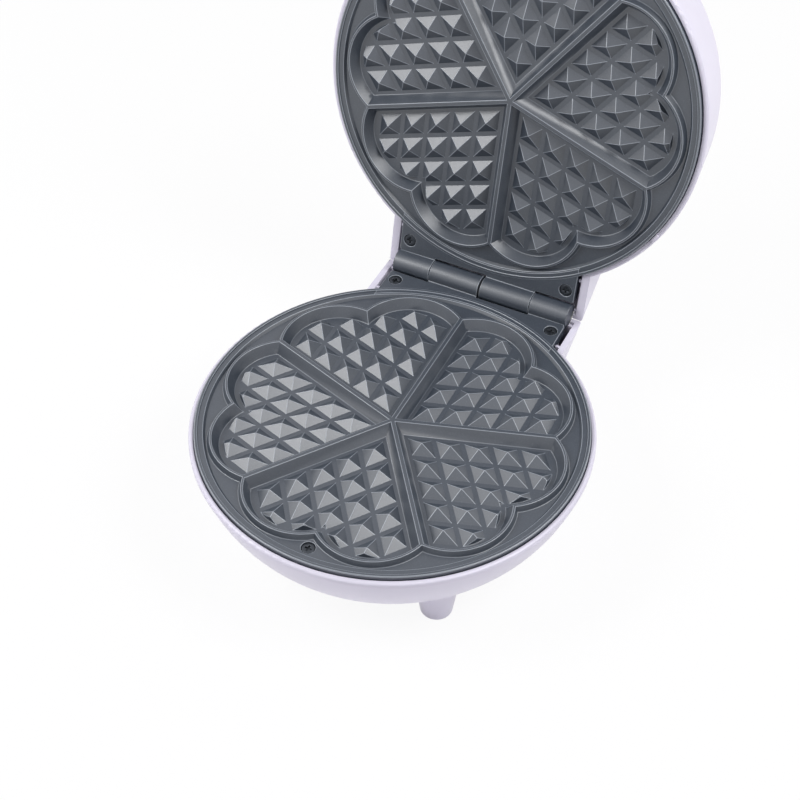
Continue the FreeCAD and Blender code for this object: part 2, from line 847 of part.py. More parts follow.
def reflector():
    """Shallow sheet pan that closes off the heater from the housing."""
    top = -reflector_depth
    bottom = top - reflector_thickness
    inner = reflector_radius - reflector_thickness
    pan = turned_outline([
        (reflector_opening, bottom),
        (reflector_radius, bottom),
        (reflector_radius, top + reflector_rim),
        (inner, top + reflector_rim),
        (inner, top),
        (reflector_opening, top),
    ])
    leg_room = heater_leg_spread + heater_radius * 2
    rear_notch = box(-leg_room, leg_room, heater_leg_y, reflector_radius + overrun, top, overrun)
    holes = [upright(x, y, small_shank_radius + screw_hole_clearance, bottom - overrun, top + overrun)
             for x, y in post_places()]
    return pan.cut([rear_notch] + holes)


def reflector_screws():
    screw = small_screw(small_grip, reflector_thickness)
    z = -reflector_depth - reflector_thickness
    return Part.makeCompound([placed(screw, x, y, z) for x, y in post_places()])


def thermostat():
    """Bimetal thermostat with its flange against the plate and two tabs for the leads."""
    top = -plate_depth
    flange = box(-thermostat_flange_length / 2, thermostat_flange_length / 2, -thermostat_flange_width / 2,
                 thermostat_flange_width / 2, top - thermostat_flange_thickness, top)
    for side in (-1, 1):
        hole = upright(side * thermostat_screw_spread, 0, small_shank_radius + screw_hole_clearance,
                       top - thermostat_cap_height, overrun)
        flange = flange.cut(hole)
    cap_bottom = top - thermostat_cap_height
    cap = upright(0, 0, thermostat_cap_radius, cap_bottom, top)
    body = upright(0, 0, thermostat_body_radius, -thermostat_bottom, cap_bottom)
    pieces = [flange, cap, body]
    for side in (-1, 1):
        x = side * thermostat_tab_spread
        pieces.append(box(x - thermostat_tab_thickness / 2, x + thermostat_tab_thickness / 2,
                          -thermostat_tab_width / 2, thermostat_tab_width / 2,
                          -thermostat_bottom - thermostat_tab_length, -thermostat_bottom))
    return joined(pieces)


def thermostat_screws():
    screw = small_screw(thermostat_screw_grip, thermostat_flange_thickness)
    z = -plate_depth - thermostat_flange_thickness
    return Part.makeCompound([placed(screw, side * thermostat_screw_spread, 0, z) for side in (-1, 1)])


def terminal_block():
    bottom = -block_top - block_height
    block = box(-block_width / 2, block_width / 2, block_y - block_depth / 2, block_y + block_depth / 2,
                bottom, -block_top)
    hole = upright(0, block_y, small_shank_radius + screw_hole_clearance, bottom - overrun, 0)
    sink = upright(0, block_y, small_head_radius + screw_hole_clearance, bottom + block_height / 2, 0)
    return block.cut([hole, sink])


def terminal_block_screw():
    screw = small_screw(small_grip, block_height / 2)
    screw.rotate(Vector(0, 0, 0), Vector(1, 0, 0), 180)
    return placed(screw, 0, block_y, -block_top - block_height / 2)


def heater_lead(side):
    """Insulated lead from one heater pin, back and then down into the terminal block."""
    x = side * heater_leg_spread
    z = -heater_depth
    corner_y = block_y - lead_bend
    turn = lead_bend * math.sin(math.pi / 4)
    start = Vector(x, heater_pin_end_y, z)
    bend_start = Vector(x, corner_y, z)
    bend_middle = Vector(x, corner_y + turn, z - lead_bend + turn)
    bend_end = Vector(x, corner_y + lead_bend, z - lead_bend)
    end = Vector(x, block_y, -block_top)
    path = Part.Wire([line(start, bend_start), Part.Arc(bend_start, bend_middle, bend_end).toShape(),
                      line(bend_end, end)])
    return swept_tube(path, lead_radius, start, Vector(0, 1, 0))


def heater_leads():
    return Part.makeCompound([heater_lead(side) for side in (-1, 1)])


def thermostat_leads():
    leads = []
    for side in (-1, 1):
        leads.append(along_y(side * thermostat_tab_spread, -thermostat_lead_depth, lead_radius,
                             thermostat_tab_width / 2, block_y - block_depth / 2))
    return Part.makeCompound(leads)


def cord_gland():
    """Bush in the rear wall with a flange on each side of it and a bore for the cord."""
    outer_face = base_neck_rear
    inner_face = outer_face - neck_rear_wall
    outside = gland_hole(gland_flange_radius, outer_face, outer_face + gland_flange_thickness)
    barrel = gland_hole(gland_barrel_radius, inner_face, outer_face)
    inside = gland_hole(gland_flange_radius, inner_face - gland_flange_thickness, inner_face)
    bore = gland_hole(gland_bore_radius, inner_face - lid_depth, outer_face + lid_depth)
    return joined([outside, barrel, inside]).cut(bore)


def hinge_pin():
    """Pin pressed into one half's short knuckle and turning in the other half's long one."""
    return along_x(hinge_reach, hinge_height, pin_radius, long_start + pin_end_gap,
                   short_end - knuckle_end_wall - pin_end_gap)


def thermal_fuse():
    can = along_x(0, -fuse_depth, fuse_radius, -fuse_length / 2, fuse_length / 2)
    wire = along_x(0, -fuse_depth, fuse_wire_radius, -fuse_length / 2 - fuse_wire_length,
                   fuse_length / 2 + fuse_wire_length)
    return joined([can, wire])


def clip_inner():
    return fuse_radius + fuse_clearance


def clip_screw_spread():
    return clip_inner() + clip_thickness + clip_ear / 2


def fuse_clip():
    """Bent strap that holds the fuse against the plate, with an ear on each side."""
    half = clip_width / 2
    inner = clip_inner()
    outer = inner + clip_thickness
    top = -plate_depth
    saddle = along_x(0, -fuse_depth, outer, -half, half)
    saddle = joined([saddle, box(-half, half, -outer, outer, -fuse_depth, top)])
    room = along_x(0, -fuse_depth, inner, -half - overrun, half + overrun)
    room = room.fuse(box(-half - overrun, half + overrun, -inner, inner, -fuse_depth, overrun))
    ears = box(-half, half, -outer - clip_ear, outer + clip_ear, top - clip_thickness, top)
    above = box(-half - overrun, half + overrun, -outer - clip_ear, outer + clip_ear, top, overrun)
    holes = [upright(0, side * clip_screw_spread(), small_shank_radius + screw_hole_clearance,
                     top - clip_thickness - overrun, overrun) for side in (-1, 1)]
    return joined([saddle, ears]).cut([room, above] + holes)


def fuse_clip_screws():
    screw = small_screw(clip_screw_grip, clip_thickness)
    z = -plate_depth - clip_thickness
    return Part.makeCompound([placed(screw, 0, side * clip_screw_spread(), z) for side in (-1, 1)])


def lid_handle():
    """Rounded grip on the front of the lid, fitted to its curved wall."""
    front = -lid_rim_radius - handle_reach
    back = -lid_rim_radius + handle_reach
    grip = box(-handle_width / 2, handle_width / 2, front, back, -handle_top - handle_thickness, -handle_top)
    middle = (front + back) / 2
    front_edges = [edge for edge in grip.Edges
                   if edge.BoundBox.YMax < middle and edge.BoundBox.ZLength > handle_thickness / 2]
    grip = grip.makeFillet(handle_corner, front_edges)
    long_edges = [edge for edge in grip.Edges
                  if edge.BoundBox.ZLength < handle_thickness / 2 and edge.BoundBox.YMin < back - overrun]
    grip = grip.makeFillet(handle_rounding, long_edges)
    grip = grip.cut(drum(-handle_fit_gap, 0))
    for x, z in handle_screw_axis():
        grip = grip.cut(along_y(x, z, small_shank_radius + screw_fit_clearance,
                                -lid_rim_radius - handle_screw_length, 0))
    return grip


def lid_handle_screws():
    wall_stack = lid_rim_radius + handle_pad_face()
    screws = []
    for x, z in handle_screw_axis():
        screw = small_screw(handle_screw_length, wall_stack)
        screw.rotate(Vector(0, 0, 0), Vector(1, 0, 0), 90)
        screws.append(placed(screw, x, handle_pad_face(), z))
    return Part.makeCompound(screws)


def indicator_lens(x, y):
    """Lens with its flange outside the lid and a hollow stem that takes the lamp."""
    back = -lid_depth
    flange = upright(x, y, lens_flange_radius, back - lens_flange_thickness, back)
    outer_edges = [edge for edge in flange.Edges if edge.BoundBox.ZMax < back - lens_flange_thickness / 2]
    flange = flange.makeFillet(lens_rounding, outer_edges)
    stem = upright(x, y, lens_stem_radius, back, back + lens_stem_length)
    bore = upright(x, y, lamp_radius + lamp_clearance, back, back + lens_stem_length + overrun)
    return joined([flange, stem]).cut(bore)


def indicator_lamp(x, y):
    """Small glow lamp that stands in the lens's stem, with its two wires."""
    start = -lid_depth
    glass = upright(x, y, lamp_radius, start, start + lamp_length)
    wires = [upright(x + side * lamp_wire_spread, y, lamp_wire_radius, start + lamp_length,
                     start + lamp_length + lamp_wire_length) for side in (-1, 1)]
    return joined([glass] + wires)


def in_base(shape):
    return placed(shape, 0, 0, ridge_height)


def in_lid(shape):
    """Turn a half over onto the base and swing it open about the hinge."""
    copy = shape.copy()
    copy.rotate(Vector(0, 0, hinge_height), Vector(0, 1, 0), 180)
    copy.rotate(Vector(0, hinge_reach, hinge_height), Vector(1, 0, 0), -open_angle)
    return in_base(copy)


thermostat_holes = [(-thermostat_screw_spread, 0), (thermostat_screw_spread, 0)]
clip_holes = [(0, -clip_screw_spread()), (0, clip_screw_spread())]
casting = plate_casting()

base_pieces = {
    "base_shell": base_shell(),
    "lower_plate": plate_with_holes(casting, thermostat_holes, thermostat_screw_grip),
    "lower_plate_screws": plate_screws(),
    "lower_heater": heater_sheath(),
    "lower_heater_beads": heater_beads(),
    "lower_heater_pins": heater_pins(),
    "lower_reflector": reflector(),
    "lower_reflector_screws": reflector_screws(),
    "thermostat": thermostat(),
    "thermostat_screws": thermostat_screws(),
    "terminal_block": terminal_block(),
    "terminal_block_screw": terminal_block_screw(),
    "heater_leads": heater_leads(),
    "thermostat_leads": thermostat_leads(),
    "cord_gland": cord_gland(),
    "hinge_pin_right": hinge_pin(),
}

lid_pieces = {
    "lid_shell": lid_shell(),
    "upper_plate": plate_with_holes(casting, clip_holes, clip_screw_grip),
    "upper_plate_screws": plate_screws(),
    "upper_heater": heater_sheath(),
    "upper_heater_beads": heater_beads(),
    "upper_heater_pins": heater_pins(),
    "upper_reflector": reflector(),
    "upper_reflector_screws": reflector_screws(),
    "thermal_fuse": thermal_fuse(),
    "fuse_clip": fuse_clip(),
    "fuse_clip_screws": fuse_clip_screws(),
    "lid_handle": lid_handle(),
    "lid_handle_screws": lid_handle_screws(),
    "power_lens": indicator_lens(*lens_places()[0]),
    "ready_lens": indicator_lens(*lens_places()[1]),
    "power_lamp": indicator_lamp(*lens_places()[0]),
    "ready_lamp": indicator_lamp(*lens_places()[1]),
    "hinge_pin_left": hinge_pin(),
}

pieces = {name: in_base(shape) for name, shape in base_pieces.items()}
pieces.update({name: in_lid(shape) for name, shape in lid_pieces.items()})

os.makedirs("parts", exist_ok=True)
for name, shape in pieces.items():
    shape.exportStep("parts/" + name + ".step")
    print(name, len(shape.Solids), "solids,", round(shape.Volume), "mm3, valid:", shape.isValid())
print("ridge height", round(ridge_height, 2), "base depth", round(base_depth, 2))
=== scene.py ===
# %% [markdown]
# A heart waffle maker with its lid open.
# Every visible piece starts from the measured solid of the same piece, so sizes and places are right from
# the start. What this lesson adds is what makes a solid look real: rounded edges that catch the light, the
# finishes, the light itself and the camera.

# %% Load the measured solids
import json
import math

import bmesh
import bpy
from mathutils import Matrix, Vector


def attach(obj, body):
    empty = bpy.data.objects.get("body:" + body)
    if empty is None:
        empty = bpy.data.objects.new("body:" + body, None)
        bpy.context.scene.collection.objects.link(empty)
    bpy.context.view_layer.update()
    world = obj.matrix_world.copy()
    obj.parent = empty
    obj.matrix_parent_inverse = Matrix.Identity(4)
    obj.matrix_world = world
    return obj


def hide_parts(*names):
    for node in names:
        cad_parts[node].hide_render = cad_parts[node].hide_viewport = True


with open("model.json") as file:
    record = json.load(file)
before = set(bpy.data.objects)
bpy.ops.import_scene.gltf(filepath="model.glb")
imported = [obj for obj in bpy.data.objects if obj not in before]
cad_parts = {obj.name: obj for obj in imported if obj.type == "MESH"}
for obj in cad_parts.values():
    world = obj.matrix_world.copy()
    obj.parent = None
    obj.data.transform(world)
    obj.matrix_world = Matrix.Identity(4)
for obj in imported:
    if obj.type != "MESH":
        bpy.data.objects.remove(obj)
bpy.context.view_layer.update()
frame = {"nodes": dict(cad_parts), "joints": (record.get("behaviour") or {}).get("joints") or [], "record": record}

MM = 0.001

# %% [markdown]
# The camera comes first, because every later choice is judged through it.
# It looks down at the open machine from the front right, with a long lens that keeps the circles of the
# plates nearly free of perspective. It could be placed by hand, but a target, two angles and a distance are
# easier to read and to change than a matrix.

# %% Camera
LOOK_AT = Vector((-2.513, 13.292, 57.5)) * MM
CAMERA_AZIMUTH = math.radians(26.203)
CAMERA_ELEVATION = math.radians(45.818)
CAMERA_DISTANCE = 855.175 * MM
LENS_LENGTH = 79.372
SENSOR_WIDTH = 36.0


def towards(azimuth, elevation):
    """Unit direction from the machine: azimuth zero is the front, and it grows to the right."""
    level = math.cos(elevation)
    return Vector((math.sin(azimuth) * level, -math.cos(azimuth) * level, math.sin(elevation)))


camera_data = bpy.data.cameras.new("photo_camera")
camera_data.lens = LENS_LENGTH
camera_data.sensor_width = SENSOR_WIDTH
camera = bpy.data.objects.new("photo_camera", camera_data)
bpy.context.scene.collection.objects.link(camera)
back = towards(CAMERA_AZIMUTH, CAMERA_ELEVATION)
camera.location = LOOK_AT + back * CAMERA_DISTANCE
camera.rotation_euler = (-back).to_track_quat("-Z", "Y").to_euler()
bpy.context.scene.camera = camera
bpy.context.scene.view_settings.view_transform = "Standard"
print("camera at", [round(value, 4) for value in camera.location])

# %% [markdown]
# A few small helpers serve every finish. Colours are written as the hex values that a colour picker shows,
# and Blender's shaders want linear light, so one function turns the first into the second.
# Another adds a node, sets it and links it in one line, which keeps a finish readable from top to bottom.
# The rest are the steps that every finish takes: a noise, a colour and a gloss led by it, and its bump.

# %% Helpers for finishes


def linear(hex_value):
    """Linear colour of an sRGB hex value such as c8c0d8."""
    channels = [int(hex_value[i:i + 2], 16) / 255 for i in (0, 2, 4)]
    return [c / 12.92 if c <= 0.04045 else ((c + 0.055) / 1.055) ** 2.4 for c in channels] + [1.0]


def add(tree, kind, inputs, **settings):
    """A new node: its settings, then its inputs as plain values or as sockets to link from."""
    node = tree.nodes.new(kind)
    for name, value in settings.items():
        setattr(node, name, value)
    for name, value in inputs.items():
        if isinstance(value, bpy.types.NodeSocket):
            tree.links.new(value, node.inputs[name])
        else:
            node.inputs[name].default_value = value
    return node


def new_finish(name):
    """An empty material: its node tree and its shader, already linked to the output."""
    material = bpy.data.materials.new(name)
    material.use_nodes = True
    tree = material.node_tree
    return material, tree, tree.nodes["Principled BSDF"]


def noise_of(tree, blotch, detail, **more):
    """Noise on the object, with blotches about so many millimetres across."""
    place = add(tree, "ShaderNodeTexCoord", {}).outputs["Object"]
    inputs = {"Vector": place, "Scale": 1.0 / (blotch * MM), "Detail": detail, **more}
    return add(tree, "ShaderNodeTexNoise", inputs).outputs["Fac"]


def mixed(tree, factor, first, second):
    """Colour between two others."""
    inputs = {"Factor": factor, "A": first, "B": second}
    return add(tree, "ShaderNodeMix", inputs, data_type="RGBA").outputs["Result"]


def between(tree, value, low, high, first=0.0, last=1.0):
    """Number that goes from low to high while a value goes from first to last."""
    inputs = {"Value": value, "From Min": first, "From Max": last, "To Min": low, "To Max": high}
    return add(tree, "ShaderNodeMapRange", inputs).outputs["Result"]


def bumped(tree, noise, strength, depth):
    """Surface that rises with a noise, by a depth in millimetres."""
    inputs = {"Height": noise, "Strength": strength, "Distance": depth * MM}
    return add(tree, "ShaderNodeBump", inputs).outputs["Normal"]


def dress(tree, shader, **sockets):
    """Links sockets to the shader's inputs, named with _ for a space."""
    for name, socket in sockets.items():
        tree.links.new(socket, shader.inputs[name.replace("_", " ")])


finishes = {}

# %% [markdown]
# The housings are moulded ABS in a pale lilac.
# Moulded plastic is never one flat colour: the pigment drifts a little, and the mould's fine spark-eroded
# texture breaks up the gloss. Two close lilacs mixed by a slow noise give the drift, and a fine noise gives
# the texture as bump and as a change of roughness.

# %% Lilac moulded ABS
material, tree, shader = new_finish("lilac moulded ABS")
drift = noise_of(tree, 35, 2.0)
tone = mixed(tree, drift, linear("d8d4e4"), linear("e1ddec"))
# The real texture is about 0.1 mm and would vanish in the picture, so it is drawn at 0.7 mm.
grain = noise_of(tree, 0.7, 3.0)
gloss = between(tree, grain, 0.30, 0.40)
skin = bumped(tree, grain, 0.12, 0.02)
dress(tree, shader, Base_Color=tone, Roughness=gloss, Normal=skin)
shader.inputs["IOR"].default_value = 1.52
finishes["lilac_plastic"] = material
print("finish:", material.name)

# %% [markdown]
# The plates are cast aluminium under a dark slate non-stick coating.
# The coating is sprayed and baked, so it is satin, slightly mottled and grainy. Its rounded edges and fillets
# are painted lighter, a painted highlight for the light that they catch. An attribute called rounded, which is
# written on each rounded edge further down, tells the finish where those edges are and how much painted
# highlight each gets.

# %% Non-stick coating on cast aluminium
# how much of the lighter colour of the painted highlight shows on a fully rounded edge
HIGHLIGHT_SHARE = 0.6
material, tree, shader = new_finish("non-stick coating on cast aluminium")
mottle = noise_of(tree, 9, 3.0)
tone = mixed(tree, mottle, linear("2a323d"), linear("343c47"))
# The flakes are finer than 0.1 mm, and are drawn at 0.8 mm so that they show.
grain = noise_of(tree, 0.8, 4.0, Roughness=0.65)
flakes = between(tree, grain, 0.0, 0.35, 0.52, 0.72)
speckled = mixed(tree, flakes, tone, linear("565e69"))
# painted highlight: rounded edges and fillets are mixed towards a light grey by their share in the rounded
# attribute
edges = add(tree, "ShaderNodeAttribute", {}, attribute_name="rounded", attribute_type="GEOMETRY")
painted_highlight = add(tree, "ShaderNodeMath", {0: edges.outputs["Fac"], 1: HIGHLIGHT_SHARE}, operation="MULTIPLY")
highlighted = mixed(tree, painted_highlight.outputs["Value"], speckled, linear("a2a9b3"))
gloss = between(tree, grain, 0.37, 0.47)
skin = bumped(tree, grain, 0.35, 0.04)
dress(tree, shader, Base_Color=highlighted, Roughness=gloss, Normal=skin)
shader.inputs["IOR"].default_value = 1.92
finishes["coated_aluminium"] = material
print("finish:", material.name)

# %% [markdown]
# The small pieces have plainer finishes, but none is one flat colour: metal has drawn or heat-tinted
# blotches, ceramic and rubber have a fine tooth. They differ only in numbers, so a table holds them and one
# loop builds them. Each row says what the real surface is and what that gives the eye.

# %% Finishes of the small pieces
SMALL_BUMP = 0.3
# slot: (name, two colours, metallic, two roughnesses, blotch in mm, bump depth in mm)
PLAIN_FINISHES = {
    # blackened steel drinks light, and only its edges glint
    "black_screw_steel": ("black oxide steel", "3f4348", "565a60", 0.9, 0.28, 0.40, 0.8, 0.01),
    # ground pins are grey with a soft sheen
    "hinge_steel": ("ground steel", "a4a7ab", "b7babd", 1.0, 0.22, 0.34, 0.5, 0.004),
    # a heater's sheath is straw to brown where it has been hot
    "heater_sheath_steel": ("heat-tinted steel", "6f665e", "8a8078", 1.0, 0.36, 0.5, 6.0, 0.006),
    # stamped terminals are pale and a little dull
    "terminal_steel": ("stamped steel", "a9a9a8", "bcbcba", 1.0, 0.28, 0.4, 1.0, 0.004),
    # unglazed ceramic is chalky, with a fine tooth
    "white_ceramic": ("unglazed ceramic", "dedad0", "ece8df", 0.0, 0.6, 0.75, 0.5, 0.02),
    # rolled sheet is bright with cloudy streaks
    "reflector_sheet": ("rolled aluminised sheet", "c2c5c7", "d2d5d6", 1.0, 0.2, 0.36, 5.0, 0.004),
    # zinc is pale with a faint warm and cold play
    "plated_screw_steel": ("zinc plated steel", "b6b7b0", "c6c7c4", 1.0, 0.24, 0.36, 0.6, 0.004),
    # thermosetting resin is almost black and dull
    "thermostat_resin": ("moulded resin", "211d1a", "2d2825", 0.0, 0.4, 0.52, 1.2, 0.01),
    # drawn brass is warm and soft
    "fuse_brass": ("drawn brass", "b0925a", "c4a76c", 1.0, 0.24, 0.36, 0.8, 0.004),
    # spring steel is grey with a blue cast
    "clip_steel": ("spring steel", "93969b", "a7aaae", 1.0, 0.26, 0.38, 0.8, 0.004),
    # silicone sleeving is white, soft and slightly greasy
    "lead_silicone": ("silicone sleeve", "d8d7d2", "e4e3df", 0.0, 0.42, 0.55, 0.6, 0.01),
    # moulded rubber is mid grey and dull, with a bloom on it
    "gland_rubber": ("moulded rubber", "87858f", "97959f", 0.0, 0.55, 0.7, 0.6, 0.02),
}
for slot, row in PLAIN_FINISHES.items():
    name, dark, light, metallic, smooth, rough, blotch, depth = row
    material, tree, shader = new_finish(name)
    noise = noise_of(tree, blotch, 3.0)
    tone = mixed(tree, noise, linear(dark), linear(light))
    gloss = between(tree, noise, smooth, rough)
    skin = bumped(tree, noise, SMALL_BUMP, depth)
    dress(tree, shader, Base_Color=tone, Roughness=gloss, Normal=skin)
    shader.inputs["Metallic"].default_value = metallic
    finishes[slot] = material
print("plain finishes:", len(PLAIN_FINISHES))

# %% [markdown]
# The indicator lenses are clear coloured polycarbonate, and the lamps behind them are glass.
# Clear pieces need transmission rather than colour alone, so that they look deep. A faint noise in the
# roughness stands for the flow of the moulding.

# %% Clear finishes
# flow marks of the moulding are about so many millimetres across
FLOW_MARKS = 2.5
# slot: (name, two colours, transmission, index of refraction, two roughnesses)
CLEAR_FINISHES = {
    # dyed polycarbonate glows from inside
    "red_lens_plastic": ("red polycarbonate", "b3161a", "c4282a", 0.55, 1.58, 0.08, 0.16),
    "green_lens_plastic": ("green polycarbonate", "1c8a3c", "2a9c4c", 0.55, 1.58, 0.08, 0.16),
    # drawn glass is clear, with slight waves
    "lamp_glass": ("drawn glass", "eeeae4", "f6f3ee", 0.9, 1.5, 0.02, 0.06),
}
for slot, (name, dark, light, clear, index, smooth, rough) in CLEAR_FINISHES.items():
    material, tree, shader = new_finish(name)
    noise = noise_of(tree, FLOW_MARKS, 2.0)
    tone = mixed(tree, noise, linear(dark), linear(light))
    gloss = between(tree, noise, smooth, rough)
    dress(tree, shader, Base_Color=tone, Roughness=gloss)
    shader.inputs["Transmission Weight"].default_value = clear
    shader.inputs["IOR"].default_value = index
    finishes[slot] = material
print("finishes in all:", len(finishes))

# %% [markdown]
# Each solid takes the finish of its slot. Solids that stay hidden inside the housings need no more than
# that. The solids that show get a copy below with rounded edges, which then stands for the solid.

# %% Finish on every solid
slot_of = {piece["node"]: piece["material_slot"] for piece in frame["record"]["subparts"]}
for name, solid in frame["nodes"].items():
    solid.data.materials.clear()
    solid.data.materials.append(finishes[slot_of[name]])
print("dressed solids:", len(slot_of))

# %% [markdown]
# Real castings and mouldings have no knife edges: a mould is cut with round tools and a coating pulls back
# from corners. A copy of a solid's mesh is merged, and edges are picked by their angle and place and
# rounded with the bevel tool. Rounding the whole mesh with a modifier would be quicker, but it can't tell a
# ridge from a corner that should stay crisp.
# A number on each rounded face, in an attribute named rounded, says how much painted highlight it gets.

# %% Rounded copies of solids
MERGE = 0.1 * MM
WIDEST_CORNER = math.radians(105)
CRISP_CORNER = math.radians(5)
# how much painted highlight goes on a rounded edge, in a root and along a floor
ON_EDGE = 1.0
IN_ROOT = 0.9
ON_FLOOR = 0.3


def select(piece):
    """Selects one piece and nothing else."""
    bpy.ops.object.select_all(action="DESELECT")
    piece.select_set(True)
    bpy.context.view_layer.objects.active = piece


def edit(piece):
    """Puts one piece, and nothing else, into edit mode."""
    select(piece)
    bpy.ops.object.mode_set(mode="EDIT")


def copied(node, name):
    """A merged copy of a solid's mesh as a new piece, without the shading that it was loaded with."""
    piece = bpy.data.objects.new(name, frame["nodes"][node].data.copy())
    bpy.context.scene.collection.objects.link(piece)
    edit(piece)
    bpy.ops.mesh.select_mode(type="EDGE")
    bpy.ops.mesh.select_all(action="SELECT")
    bpy.ops.mesh.remove_doubles(threshold=MERGE)
    bpy.ops.mesh.dissolve_degenerate(threshold=MERGE)
    bpy.ops.object.mode_set(mode="OBJECT")
    bpy.ops.mesh.customdata_custom_splitnormals_clear()
    piece.data.attributes.new("rounded", "FLOAT", "FACE")
    return piece


def middle(edge):
    """Middle point of an edge."""
    return (edge.verts[0].co + edge.verts[1].co) / 2


def outer(edge, least):
    """An edge that stands out and turns by more than an angle in degrees."""
    return edge.is_convex and edge.calc_face_angle() > math.radians(least)


def inner(edge, least):
    """The same for a corner that light falls into, up to a little over a right angle."""
    return not edge.is_convex and math.radians(least) < edge.calc_face_angle() < WIDEST_CORNER


def round_edges(piece, width, painted_highlight, wanted):
    """Bevels the edges that wanted() accepts, and writes on the new faces how much painted highlight they get."""
    edit(piece)
    bpy.ops.mesh.select_all(action="DESELECT")
    mesh = bmesh.from_edit_mesh(piece.data)
    chosen = [edge for edge in mesh.edges if len(edge.link_faces) == 2 and wanted(edge)]
    for edge in chosen:
        edge.select_set(True)
    bmesh.update_edit_mesh(piece.data)
    bpy.ops.mesh.bevel(offset=width, offset_type="WIDTH", segments=2, affect="EDGES", clamp_overlap=False,
                       loop_slide=False)
    mesh = bmesh.from_edit_mesh(piece.data)
    rounded = mesh.faces.layers.float["rounded"]
    for face in mesh.faces:
        if face.select:
            face[rounded] = painted_highlight
    bmesh.update_edit_mesh(piece.data)
    bpy.ops.object.mode_set(mode="OBJECT")
    print(piece.name, "edges rounded:", len(chosen))


def finished(piece, node, body, crisp, weight):
    """Shading that is smooth up to an angle in degrees and over rounded faces, and the piece's place.

    Where a rounded edge runs out on a floor, the corner is kept crisp, or the floor's light would bleed
    into the faces beside the edge. Weight says what counts where faces meet: their area keeps flat faces
    flat, and their angle suits curved ones.
    """
    select(piece)
    bpy.ops.object.shade_smooth_by_angle(angle=math.radians(crisp))
    edit(piece)
    mesh = bmesh.from_edit_mesh(piece.data)
    rounded = mesh.faces.layers.float["rounded"]
    for edge in mesh.edges:
        # the rounded attribute holds each face's share of painted highlight
        painted_highlight = sorted(face[rounded] for face in edge.link_faces)
        if painted_highlight[-1] == ON_EDGE and not edge.is_convex and edge.calc_face_angle(0) > CRISP_CORNER:
            edge.smooth = False
        elif painted_highlight[0] > 0:
            edge.smooth = True
    bmesh.update_edit_mesh(piece.data)
    bpy.ops.object.mode_set(mode="OBJECT")
    weighted = piece.modifiers.new("weighted shading", "WEIGHTED_NORMAL")
    weighted.keep_sharp = True
    weighted.mode = weight
    bpy.ops.object.modifier_apply(modifier=weighted.name)
    piece.data.materials.clear()
    piece.data.materials.append(finishes[slot_of[node]])
    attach(piece, body)
    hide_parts(node)
    print(piece.name, "polygons:", len(piece.data.polygons))


# %% [markdown]
# The two plates carry most of the picture: thin bright lines run along their ridges, lips and pyramids.
# Those lines are the light in the rounded edges, so the edges are rounded by the third of a millimetre that
# a sprayed casting has, and not only shaded; the rounded faces also carry a painted highlight that
# strengthens the lines. The floors meet the walls in a small fillet, and so do the knuckles and their flange,
# because a casting needs it there. The feet of the pyramids stay crisp.

# %% Plates
hinge = frame["joints"][0]
hinge_place = Vector(hinge["pos_m"])
opening = math.radians(hinge["range_deg"][1])
COOKING_SIDE = 44 * MM
FLOORS = (51.9 * MM, 54.5 * MM)
KNUCKLE_REACH = 8 * MM
FLOOR_FILLET = 0.5 * MM
EDGE_ROUNDING = 0.36 * MM
ROOT_FILLET = 0.4 * MM
# least angles, in degrees, of the corners and edges that are rounded, and the one that stays crisp
FLOOR_CORNER = 60
RIDGE_TURN = 30
ROOT_CORNER = 80
PLATE_CRISP = 28


def base_height(point):
    """Height of a point of the lower plate."""
    return point.z


def lid_height(point):
    """The same on the upper plate, measured as if it lay in the base."""
    arm = point - hinge_place
    return hinge_place.z - arm.y * math.sin(opening) - arm.z * math.cos(opening)


def on_floor(edge, height):
    """Along the floor of a heart or of the moat round the hearts."""
    levels = [height(corner.co) for corner in edge.verts]
    return any(max(abs(level - floor) for level in levels) < MERGE for floor in FLOORS)


def at_knuckle(edge):
    """Along the hinge and close to it."""
    arm = middle(edge) - hinge_place
    along = abs(edge.verts[0].co.x - edge.verts[1].co.x)
    return math.hypot(arm.y, arm.z) < KNUCKLE_REACH and along > edge.calc_length() / 2


PLATES = (
    ("lower_plate", "lower_plate_cast", "base", base_height),
    ("upper_plate", "upper_plate_cast", "lid", lid_height),
)
for node, name, body, height in PLATES:
    plate = copied(node, name)
    # the three roundings also carry painted highlight: a little on the floor fillets, most on the edges, almost as
    # much in the knuckle roots
    round_edges(plate, FLOOR_FILLET, ON_FLOOR,
                lambda edge: inner(edge, FLOOR_CORNER) and on_floor(edge, height))
    round_edges(plate, EDGE_ROUNDING, ON_EDGE,
                lambda edge: outer(edge, RIDGE_TURN) and height(middle(edge)) > COOKING_SIDE)
    round_edges(plate, ROOT_FILLET, IN_ROOT,
                lambda edge: inner(edge, ROOT_CORNER) and at_knuckle(edge))
    finished(plate, node, body, PLATE_CRISP, "FACE_AREA")

# %% [markdown]
# The housings are thicker mouldings with softer edges, most of them rounded in the solid already, and the
# screws and the grip follow the same way with widths of their own.

# %% Housings, grip and screws
MOULDED_CRISP = 40
# solid, piece, body, width in mm, least angle in degrees
ROUNDED = (
    ("base_shell", "base_shell_moulded", "base", 0.35, 60),
    ("lid_shell", "lid_shell_moulded", "lid", 0.35, 60),
    ("lid_handle", "lid_handle_moulded", "lid", 0.4, 50),
    ("lower_plate_screws", "lower_plate_screws_turned", "base", 0.2, 35),
    ("upper_plate_screws", "upper_plate_screws_turned", "lid", 0.2, 35),
    ("cord_gland", "cord_gland_moulded", "base", 0.5, 35),
)
for node, name, body, width, least in ROUNDED:
    piece = copied(node, name)
    round_edges(piece, width * MM, ON_EDGE, lambda edge: outer(edge, least))
    finished(piece, node, body, MOULDED_CRISP, "CORNER_ANGLE")

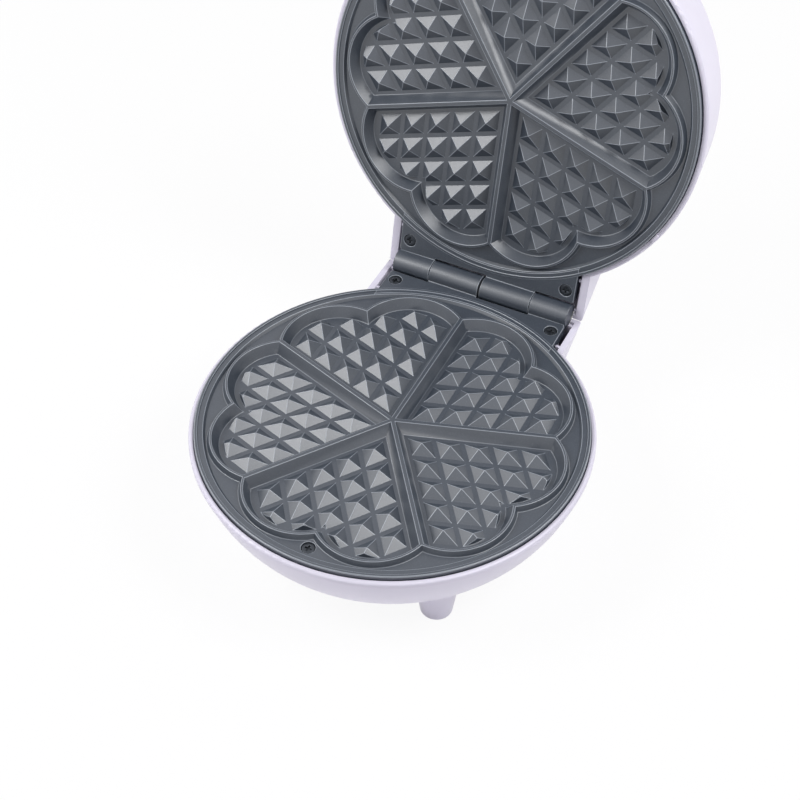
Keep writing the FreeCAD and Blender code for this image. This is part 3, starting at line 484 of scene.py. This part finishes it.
# %% [markdown]
# The machine stands on a plain white floor in a bright room.
# The floor is seen as almost pure white, but it still takes the soft shadow that keeps the machine on the
# ground: rays from the camera, and mirrored or clear ones, see a mix of the lit floor and plain white.

# %% Floor and room
FLOOR_SIDE = 8.0
# share of plain white in the floor that is seen
PLAIN_WHITE = 0.92
# how bright the room is as light and as seen
ROOM_LIGHT = 0.2
ROOM_SEEN = 0.95


def seen_directly(tree):
    """One for rays from the camera and for mirrored or clear ones, zero for those that only bring light."""
    rays = add(tree, "ShaderNodeLightPath", {})
    seen = add(tree, "ShaderNodeMath", {0: rays.outputs["Is Camera Ray"], 1: rays.outputs["Is Glossy Ray"]},
               operation="MAXIMUM")
    seen = add(tree, "ShaderNodeMath", {0: seen.outputs["Value"], 1: rays.outputs["Is Transmission Ray"]},
               operation="MAXIMUM")
    return seen.outputs["Value"]


bpy.ops.object.select_all(action="DESELECT")
bpy.ops.mesh.primitive_plane_add(size=FLOOR_SIDE, location=(0, 0, 0))
floor = bpy.context.active_object
floor.name = "floor"
material, tree, shader = new_finish("white studio floor")
share = add(tree, "ShaderNodeMath", {0: seen_directly(tree), 1: PLAIN_WHITE}, operation="MULTIPLY")
plain = add(tree, "ShaderNodeEmission", {"Color": linear("ffffff"), "Strength": 1.0})
shader.inputs["Base Color"].default_value = linear("f4f3f6")
shader.inputs["Roughness"].default_value = 0.9
shader.inputs["Specular IOR Level"].default_value = 0.0
surface = add(tree, "ShaderNodeMixShader", {0: share.outputs["Value"], 1: shader.outputs["BSDF"],
                                            2: plain.outputs["Emission"]})
tree.links.new(surface.outputs["Shader"], tree.nodes["Material Output"].inputs["Surface"])
floor.data.materials.append(material)

world = bpy.data.worlds.new("white room")
bpy.context.scene.world = world
world.use_nodes = True
tree = world.node_tree
level = between(tree, seen_directly(tree), ROOM_LIGHT, ROOM_SEEN)
tree.links.new(level, tree.nodes["Background"].inputs["Strength"])
tree.nodes["Background"].inputs["Color"].default_value = linear("fefdff")
print("floor and room ready")

# %% [markdown]
# Two soft boxes light the machine, one high on the right and one on the left in front. Weak fills open the
# bowl's front and left side, and a stronger one stands behind on the right, so that the back isn't dark.
# The pyramids are small mirrors in satin: a face is bright where it turns a soft box towards the camera, so
# the two boxes stand where the bright faces of the real plate mirror them.

# %% Soft boxes
LIGHTS = (
    # name, direction from the plate, distance in metres, side in metres, watts
    ("soft_box_right", Vector((0.60, 0.07, 0.80)), 1.1, 0.50, 6.8),
    ("soft_box_left", Vector((-0.58, -0.38, 0.72)), 1.1, 0.50, 6.7),
    ("front_fill", Vector((0.25, -0.92, 0.30)), 1.5, 0.90, 1.0),
    ("side_fill", Vector((-0.915, 0.185, 0.358)), 1.2, 0.70, 2.5),
    ("back_fill", Vector((0.45, 0.75, 0.48)), 1.5, 0.90, 4.5),
)
for name, direction, distance, side, watts in LIGHTS:
    data = bpy.data.lights.new(name, "AREA")
    data.size = side
    data.energy = watts
    lamp = bpy.data.objects.new(name, data)
    bpy.context.scene.collection.objects.link(lamp)
    lamp.location = LOOK_AT + direction.normalized() * distance
    lamp.rotation_euler = (-direction).to_track_quat("-Z", "Y").to_euler()
print("soft boxes:", len(LIGHTS))
